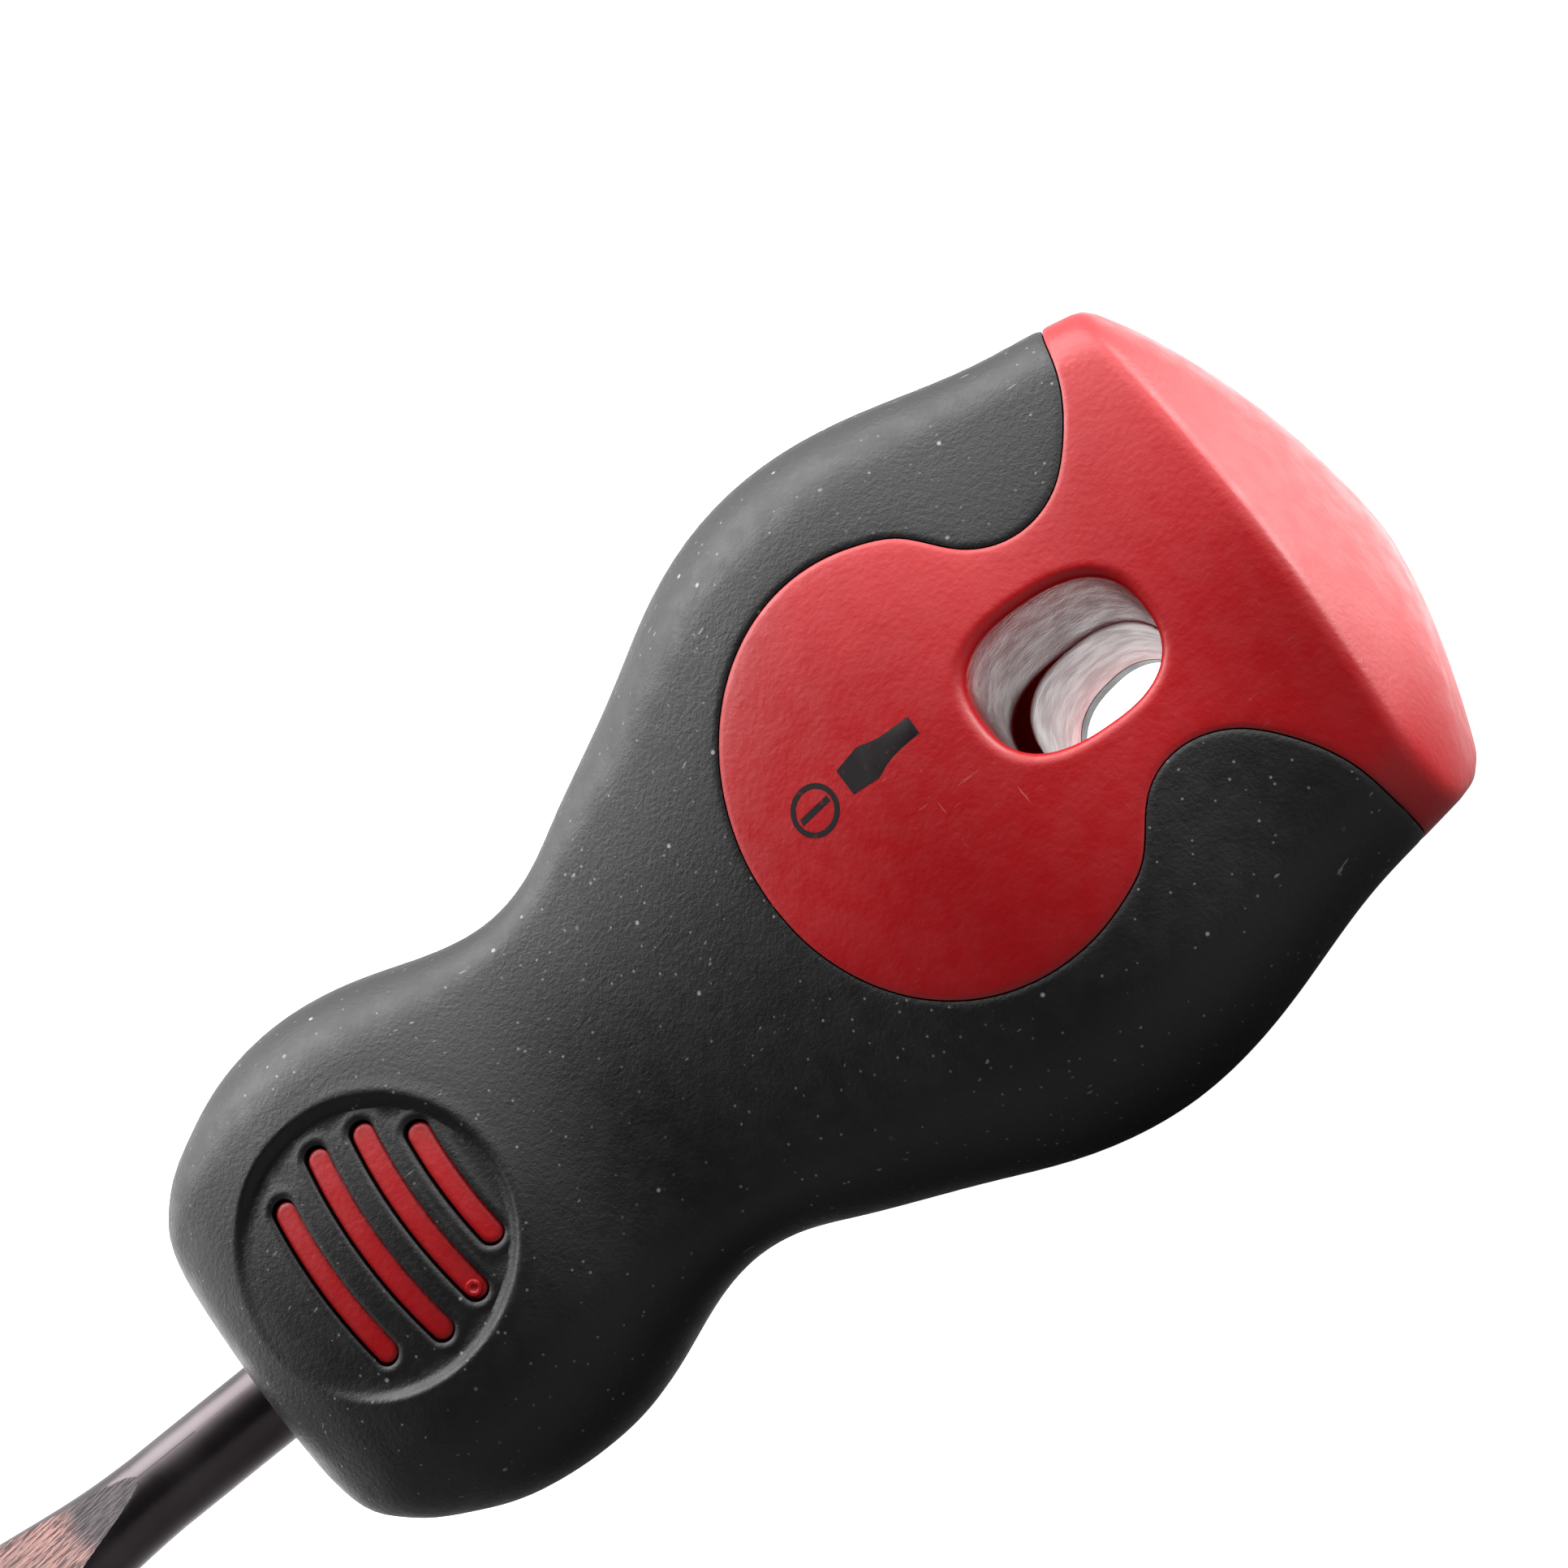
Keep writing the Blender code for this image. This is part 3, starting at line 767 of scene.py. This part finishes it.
def make_body(layout, here, middle, material, wall_material):
    kept = (middle["mouth"] > 0) & (middle["exit"] > 0)
    faces = layout.triangles[kept].tolist()
    points = sunk(layout, here, body_depth(here), FRONT_WALL + CORE_CLEARANCE).tolist()

    def ring(spots):
        start = len(points)
        points.extend(np.asarray(spots, float).tolist())
        return list(range(start, start + len(spots)))

    def bridge(one, other):
        count = len(one)
        for i in range(count):
            j = (i + 1) % count
            faces.append((one[i], one[j], other[j], other[i]))

    def hole_ring(halves, out, centre):
        outline = oval(*halves, HOLE_POINTS) + centre
        out_y, out_z = math.cos(HOLE_ANGLE), math.sin(HOLE_ANGLE)
        return np.stack([FRONT + outline[:, 0],
                         out * out_y + outline[:, 1] * HOLE_SIDEWAYS[0],
                         out * out_z + outline[:, 1] * HOLE_SIDEWAYS[1]], 1)

    first_wall = len(faces)
    mouth = layout.loops["mouth", 0.0]
    ledge = hole_ring(HOLE_NEAR, LEDGE_LEVELS[0], HOLE_STEP_CENTRE)
    behind_ledge = hole_ring([half - LEDGE_ROUND for half in HOLE_NEAR], LEDGE_LEVELS[1], HOLE_STEP_CENTRE)
    step = hole_ring([half + STEP_ROUND for half in HOLE_FAR], LEDGE_LEVELS[2], HOLE_FAR_CENTRE)
    far = hole_ring(HOLE_FAR, LEDGE_LEVELS[3], HOLE_FAR_CENTRE)
    top = np.array(points)[mouth]
    rows = [mouth] + [ring(top + (ledge - top) * share) for share in NEAR_SHARES]
    rows += [ring(spots) for spots in (ledge, behind_ledge, step, far)]
    leaving = layout.loops["exit", 0.0]
    end = np.array(points)[leaving]
    rows += [ring(far + (end - far) * share) for share in FAR_SHARES] + [leaving]
    for one, other in zip(rows, rows[1:]):
        bridge(one, other)
    wall_faces = range(first_wall, len(faces))

    loops = rim_loops(np.array([face for face in faces if len(face) == 3]))
    open_loops = [loop for loop in loops if not set(loop) & (set(mouth) | set(leaving))]
    front = min(open_loops, key=lambda loop: points[loop[0]][0])
    back = max(open_loops, key=lambda loop: points[loop[0]][0])
    apex = len(points)
    points.append([BUTT, 0.0, 0.0])
    faces.extend((a, b, apex) for a, b in zip(back, back[1:] + back[:1]))
    angle = np.array([math.atan2(points[i][2], points[i][1]) for i in front])
    previous = front
    for place, radius in CORE_TUBE:
        spots = np.stack([np.full(len(front), FRONT + place),
                          radius * np.cos(angle), radius * np.sin(angle)], 1)
        following = ring(spots)
        bridge(previous, following)
        previous = following
    faces.append(tuple(previous))
    return make_piece("hard_body", points, faces, material, wall_material, wall_faces)


def rim_loops(triangles):
    """The rim's edges joined into closed loops of points."""
    following = dict(rim_edges(triangles))
    loops = []
    while following:
        start, spot = following.popitem()
        loop = [start]
        while spot != start:
            loop.append(spot)
            spot = following.pop(spot)
        loops.append(loop)
    return loops


# ---------------------------------------------------------------- blade

def blade_ring(place, half_width, half_thickness, squareness=0.0):
    """A round section cut by two flats, with a point on each crease."""
    flat_angle = math.radians(FLAT_ANGLE)
    crease = math.asin(min(0.9995, half_thickness / SHANK_RADIUS))
    edge = np.linspace(-crease, crease, EDGE_STEPS)
    top = np.linspace(math.cos(crease), -math.cos(crease), FLAT_STEPS + 2)[1:-1]
    side = np.cos(edge)
    side = side + squareness * (1 - side)
    width = side[0]
    flat_across = top / max(math.cos(crease), TINY) * width
    across = np.concatenate([side, flat_across, -side, -flat_across]) * half_width
    level = np.full(len(top), SHANK_RADIUS * math.sin(crease))
    out = np.concatenate([SHANK_RADIUS * np.sin(edge), level, -SHANK_RADIUS * np.sin(edge), -level])
    return np.stack([np.full(len(out), place),
                     out * math.cos(flat_angle) - across * math.sin(flat_angle),
                     out * math.sin(flat_angle) + across * math.cos(flat_angle)], 1)


def make_blade(material, ground):
    rows = np.array(KEYSTONE)
    places = np.unique(np.concatenate([[0.0, 0.06], np.arange(0.5, KEYSTONE_END, 0.4),
                                       [KEYSTONE_END, *SHANK_STATIONS]]))
    flared = places <= KEYSTONE_END
    held = np.minimum(places, KEYSTONE_END)
    wide = np.where(flared, spline(rows[:, 0], rows[:, 1], held), SHANK_RADIUS)
    thick = np.where(flared, spline(rows[:, 0], rows[:, 2], held), SHANK_RADIUS)
    widest = int(np.argmax(wide))
    wide[widest:] = np.maximum(np.minimum.accumulate(wide[widest:]), SHANK_RADIUS)
    thick = np.maximum.accumulate(np.minimum(thick, SHANK_RADIUS))
    rings = []
    for place, half_width, half_thickness in zip(places, wide, thick):
        bevel = TIP_BEVEL if place == 0 else 0.0
        squareness = max(0.0, 1 - place / SQUARE_SIDES)
        rings.append(blade_ring(place, half_width - bevel, half_thickness - bevel, squareness))
    rings.append(blade_ring(FRONT + TANG_END, SHANK_RADIUS, SHANK_RADIUS))
    count = len(rings[0])
    faces = []
    for row in range(len(rings) - 1):
        for i in range(count):
            j = (i + 1) % count
            faces.append((row * count + i, row * count + j, (row + 1) * count + j, (row + 1) * count + i))
    faces.append(tuple(range(count)))
    faces.append(tuple(range((len(rings) - 1) * count, len(rings) * count)))
    half = EDGE_STEPS + FLAT_STEPS
    flats = [row * count + i for row in range(len(rings) - 1) for i in range(count)
             if i % half >= EDGE_STEPS - 1 and places[min(row, len(places) - 1)] < GROUND_END]
    return make_piece("steel_blade", np.vstack(rings), faces, material, ground, flats,
                      BLADE_SHARP_ANGLE)


# ---------------------------------------------------------------- drive mark

def mark_shapes():
    """Closed outlines, (place, across): a slotted screw head and a flat blade's tip."""
    head = (MARK_PLACE - HEAD_BEHIND, MARK_ACROSS)
    yield [circle(head, radius, HEAD_POINTS) for radius in HEAD_RADII]
    yield [np.array(HEAD_SLOT) + head]
    yield [np.array(MARK_BLADE) + (MARK_PLACE, MARK_ACROSS)]


def make_mark(material):
    points = []
    faces = []
    for outlines in mark_shapes():
        spots = []
        edges = []
        for outline in outlines:
            start = len(spots)
            fine = []
            for one, other in zip(outline, np.roll(outline, -1, axis=0)):
                steps = max(1, int(np.hypot(*(other - one)) / MARK_FINE))
                fine += [one + (other - one) * i / steps for i in range(steps)]
            spots += [Vector(spot) for spot in fine]
            edges += [(start + i, start + (i + 1) % len(fine)) for i in range(len(fine))]
        found, _, triangles, _, _, _ = delaunay_2d_cdt(spots, edges, [], 2, WELD, True)
        if len(outlines) > 1:
            middle = np.array(outlines[0]).mean(0)
            hollow = np.hypot(*(outlines[1][0] - middle)) - 0.02
            triangles = [face for face in triangles
                         if np.hypot(*(np.mean([found[i] for i in face], 0) - middle)) > hollow]
        flat_spots = np.array([(spot.x, spot.y) for spot in found])
        travel, turn = flat(flat_spots[:, 0], flat_spots[:, 1], 0).T
        top = surface(travel, turn, -MARK_PROUD) + (FRONT, 0, 0)
        low = surface(travel, turn, MARK_SUNK) + (FRONT, 0, 0)
        start = len(points)
        count = len(top)
        triangles = np.array([tuple(face) for face in triangles]) + start
        points += top.tolist() + low.tolist()
        faces += triangles.tolist() + (triangles[:, ::-1] + count).tolist()
        faces += [(b, a, a + count, b + count) for a, b in rim_edges(triangles)]
    return make_piece("drive_mark", points, faces, material)


# ---------------------------------------------------------------- materials

class Nodes:
    """Short calls for a material's nodes."""

    def __init__(self, name):
        self.material = bpy.data.materials.new(name)
        self.material.use_nodes = True
        self.tree = self.material.node_tree
        self.shader = self.tree.nodes["Principled BSDF"]
        self.place = self.new("ShaderNodeTexCoord").outputs["Object"]

    def new(self, kind, **values):
        node = self.tree.nodes.new(kind)
        for name, value in values.items():
            setattr(node, name, value)
        return node

    def link(self, source, target):
        self.tree.links.new(source, target)

    def stretched(self, scale):
        node = self.new("ShaderNodeMapping")
        node.inputs["Scale"].default_value = scale
        self.link(self.place, node.inputs["Vector"])
        return node.outputs["Vector"]

    def noise(self, scale, detail=2.0, vector=None, rough=0.5):
        node = self.new("ShaderNodeTexNoise")
        node.inputs["Scale"].default_value = scale
        node.inputs["Detail"].default_value = detail
        node.inputs["Roughness"].default_value = rough
        self.link(vector or self.place, node.inputs["Vector"])
        return node.outputs["Fac"]

    def specks(self, scale):
        node = self.new("ShaderNodeTexVoronoi")
        node.inputs["Scale"].default_value = scale
        self.link(self.place, node.inputs["Vector"])
        return node.outputs["Distance"]

    def ramp(self, source, low, high, to_low=0.0, to_high=1.0):
        node = self.new("ShaderNodeMapRange", interpolation_type="SMOOTHSTEP")
        for name, value in (("From Min", low), ("From Max", high), ("To Min", to_low), ("To Max", to_high)):
            node.inputs[name].default_value = value
        self.link(source, node.inputs["Value"])
        return node.outputs["Result"]

    def math(self, operation, one, other):
        node = self.new("ShaderNodeMath", operation=operation)
        for socket, value in zip(node.inputs, (one, other)):
            if isinstance(value, float):
                socket.default_value = value
            else:
                self.link(value, socket)
        return node.outputs[0]

    def mix(self, amount, one, other):
        node = self.new("ShaderNodeMix", data_type="RGBA")
        self.link(amount, node.inputs["Factor"])
        for socket, value in (("A", one), ("B", other)):
            target = [item for item in node.inputs if item.name == socket and item.type == "RGBA"][0]
            if isinstance(value, tuple):
                target.default_value = (*value, 1)
            else:
                self.link(value, target)
        return [item for item in node.outputs if item.type == "RGBA"][0]

    def bump(self, height, strength, distance):
        node = self.new("ShaderNodeBump")
        node.inputs["Strength"].default_value = strength
        node.inputs["Distance"].default_value = distance
        self.link(height, node.inputs["Height"])
        return node.outputs["Normal"]

    def set(self, **values):
        for name, value in values.items():
            socket = self.shader.inputs[name.replace("_", " ")]
            if isinstance(value, (int, float)):
                socket.default_value = value
            elif isinstance(value, tuple):
                socket.default_value = (*value, 1)
            else:
                self.link(value, socket)


def red_plastic(name, depth):
    made = Nodes(name)
    cloudy = made.noise(90.0, 3.0)
    color = made.mix(made.ramp(cloudy, 0.35, 0.7), *RED)
    long_lines = made.noise(1.0, 3.0, made.stretched((350, 5200, 5200)), 0.6)
    cross_lines = made.noise(1.0, 2.0, made.stretched((4200, 420, 420)), 0.6)
    patches = made.ramp(made.noise(160.0, 2.0), 0.52, 0.7)
    scratches = made.math("MULTIPLY", made.ramp(long_lines, 0.66, 0.74), patches)
    nicks = made.math("MULTIPLY", made.ramp(cross_lines, 0.7, 0.78), patches)
    marks = made.math("MAXIMUM", scratches, nicks)
    worn = made.mix(made.math("MULTIPLY", marks, 0.3), color, RED_SCRATCHED)
    grains = made.noise(3000.0, 3.0)
    rough = made.ramp(made.noise(700.0, 2.0), 0.3, 0.7, 0.34, 0.44)
    rough = made.math("ADD", rough, made.math("MULTIPLY", marks, 0.12))
    made.set(Base_Color=worn, Roughness=rough, IOR=1.49, Normal=made.bump(grains, 0.75, depth))
    return made.material


def black_rubber():
    made = Nodes("black_rubber")
    fine = made.noise(3800.0, 3.0, rough=0.7)
    wide = made.noise(900.0, 2.0)
    cloudy = made.noise(120.0, 3.0)
    color = made.mix(made.ramp(cloudy, 0.3, 0.7), *RUBBER)
    dots = made.ramp(made.specks(520.0), 0.08, 0.04)
    patches = made.ramp(made.noise(140.0, 1.0), 0.4, 0.6)
    powder = made.ramp(made.specks(1300.0), 0.13, 0.05)
    powder = made.math("MULTIPLY", powder, made.ramp(cloudy, 0.3, 0.7, 0.2, 0.75))
    dust = made.math("MAXIMUM", made.math("MULTIPLY", dots, patches), powder)
    hairs = made.ramp(made.noise(1.0, 1.0, made.stretched((260, 3600, 2600)), 0.4), 0.765, 0.8)
    dirt = made.math("MAXIMUM", dust, made.math("MULTIPLY", hairs, 0.5))
    made.set(Base_Color=made.mix(dirt, color, DUST))
    made.set(Roughness=made.ramp(wide, 0.3, 0.7, 0.42, 0.5))
    made.set(Normal=made.bump(fine, 0.8, 0.00005))
    return made.material


def oxide_steel():
    made = Nodes("black_oxide_steel")
    cloudy = made.noise(260.0, 4.0)
    lines = made.noise(1.0, 2.0, made.stretched((3800, 500, 500)))
    color = made.mix(made.ramp(cloudy, 0.3, 0.7), *OXIDE)
    made.set(Base_Color=color, Metallic=0.85, Roughness=made.ramp(cloudy, 0.3, 0.7, 0.28, 0.38))
    made.set(Normal=made.bump(lines, 0.25, 0.00002))
    return made.material


def ground_steel():
    made = Nodes("ground_flats")
    lines = made.noise(1.0, 3.0, made.stretched((70, 7500, 7500)), 0.7)
    wide = made.noise(1.0, 2.0, made.stretched((60, 2200, 2200)))
    along = made.new("ShaderNodeSeparateXYZ")
    made.link(made.place, along.inputs[0])
    edge = made.math("ADD", along.outputs["X"], made.math("MULTIPLY", made.noise(300.0), 0.004))
    copper = made.ramp(edge, 0.0265, 0.0285)
    bare = made.mix(made.ramp(wide, 0.35, 0.65), *COPPER_TINT)
    bare = made.mix(copper, bare, GROUND_GREY)
    scored = made.mix(made.ramp(lines, 0.46, 0.6, 0.0, 0.8), bare, SCORED)
    made.set(Base_Color=scored, Metallic=0.95)
    made.set(Roughness=made.ramp(lines, 0.3, 0.7, 0.24, 0.42))
    made.set(Normal=made.bump(lines, 0.6, 0.00004))
    return made.material


def ink():
    made = Nodes("black_ink")
    worn = made.ramp(made.noise(2600.0, 2.0), 0.62, 0.72)
    made.set(Base_Color=made.mix(worn, INK, INK_WORN))
    made.set(Roughness=0.6, Specular_IOR_Level=0.25)
    return made.material


# ---------------------------------------------------------------- the handle, blade and mark

layout = Layout()
here = features(layout.travel, layout.turn)
middle = features(layout.centre_travel, layout.centre_turn)
body = make_body(layout, here, middle, red_plastic("red_plastic", 0.00003),
                 red_plastic("red_moulded_wall", 0.00006))
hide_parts("handle_body")
grip = make_grip(layout, here, middle, black_rubber())
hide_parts("grip")
blade = make_blade(oxide_steel(), ground_steel())
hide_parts("blade")
make_mark(ink())

# ---------------------------------------------------------------- floor, lights and camera

def make_floor():
    """White to the camera. As a light it is dim in front of the handle and bright behind it."""
    mesh = bpy.data.meshes.new("floor")
    half = FLOOR_SIZE / 2
    level = CAD_BOX[0][2] - FLOOR_GAP
    mesh.from_pydata([(-half, -half, level), (half, -half, level), (half, half, level), (-half, half, level)],
                     [], [(0, 1, 2, 3)])
    made = Nodes("pale_floor")
    apart = made.new("ShaderNodeSeparateXYZ")
    made.link(made.place, apart.inputs[0])
    seen = made.new("ShaderNodeLightPath").outputs["Is Camera Ray"]
    glow = made.math("MAXIMUM", made.ramp(apart.outputs["Y"], *FLOOR_GLOW), seen)
    made.set(Base_Color=FLOOR_GREY, Roughness=0.9)
    made.set(Emission_Color=WHITE, Emission_Strength=glow)
    mesh.materials.append(made.material)
    floor = bpy.data.objects.new("floor", mesh)
    bpy.context.scene.collection.objects.link(floor)


def make_camera():
    data = bpy.data.cameras.new("camera")
    data.lens = VIEW_LENS
    data.clip_start = 0.05
    camera = bpy.data.objects.new("camera", data)
    turn = Matrix.Rotation(VIEW_AZIMUTH, 4, "Z") @ Matrix.Rotation(math.pi / 2 - VIEW_ELEVATION, 4, "X")
    place = VIEW_AIM + turn @ Vector((0, 0, VIEW_DISTANCE))
    camera.matrix_world = Matrix.Translation(place) @ turn @ Matrix.Rotation(VIEW_ROLL, 4, "Z")
    bpy.context.scene.collection.objects.link(camera)
    bpy.context.scene.camera = camera


def make_light(name, place, size, power):
    data = bpy.data.lights.new(name, "AREA")
    data.shape = "RECTANGLE"
    data.size, data.size_y = size
    data.energy = power
    light = bpy.data.objects.new(name, data)
    light.location = place
    light.rotation_euler = (Vector(LIGHT_AIM) - Vector(place)).to_track_quat("-Z", "Y").to_euler()
    bpy.context.scene.collection.objects.link(light)


def make_world():
    """White round the handle, dark where its front faces and dimmer where its back faces."""
    world = bpy.data.worlds.new("studio")
    world.use_nodes = True
    tree = world.node_tree
    background = tree.nodes["Background"]
    direction = tree.nodes.new("ShaderNodeTexCoord")
    dot = tree.nodes.new("ShaderNodeVectorMath")
    dot.operation = "DOT_PRODUCT"
    dot.inputs[1].default_value = DARK_SIDE
    tree.links.new(direction.outputs["Generated"], dot.inputs[0])
    product = tree.nodes.new("ShaderNodeMath")
    product.operation = "MULTIPLY"
    for i, numbers in enumerate(SKY_BANDS):
        shade = tree.nodes.new("ShaderNodeMapRange")
        shade.interpolation_type = "SMOOTHSTEP"
        for name, value in zip(("From Min", "From Max", "To Min", "To Max"), numbers):
            shade.inputs[name].default_value = value
        tree.links.new(dot.outputs["Value"], shade.inputs["Value"])
        tree.links.new(shade.outputs["Result"], product.inputs[i])
    tree.links.new(product.outputs["Value"], background.inputs["Strength"])
    background.inputs["Color"].default_value = (*WHITE, 1)
    bpy.context.scene.world = world


make_floor()
make_camera()
make_world()
for light in LIGHTS:
    make_light(*light)
bpy.context.scene.view_settings.view_transform = "Standard"
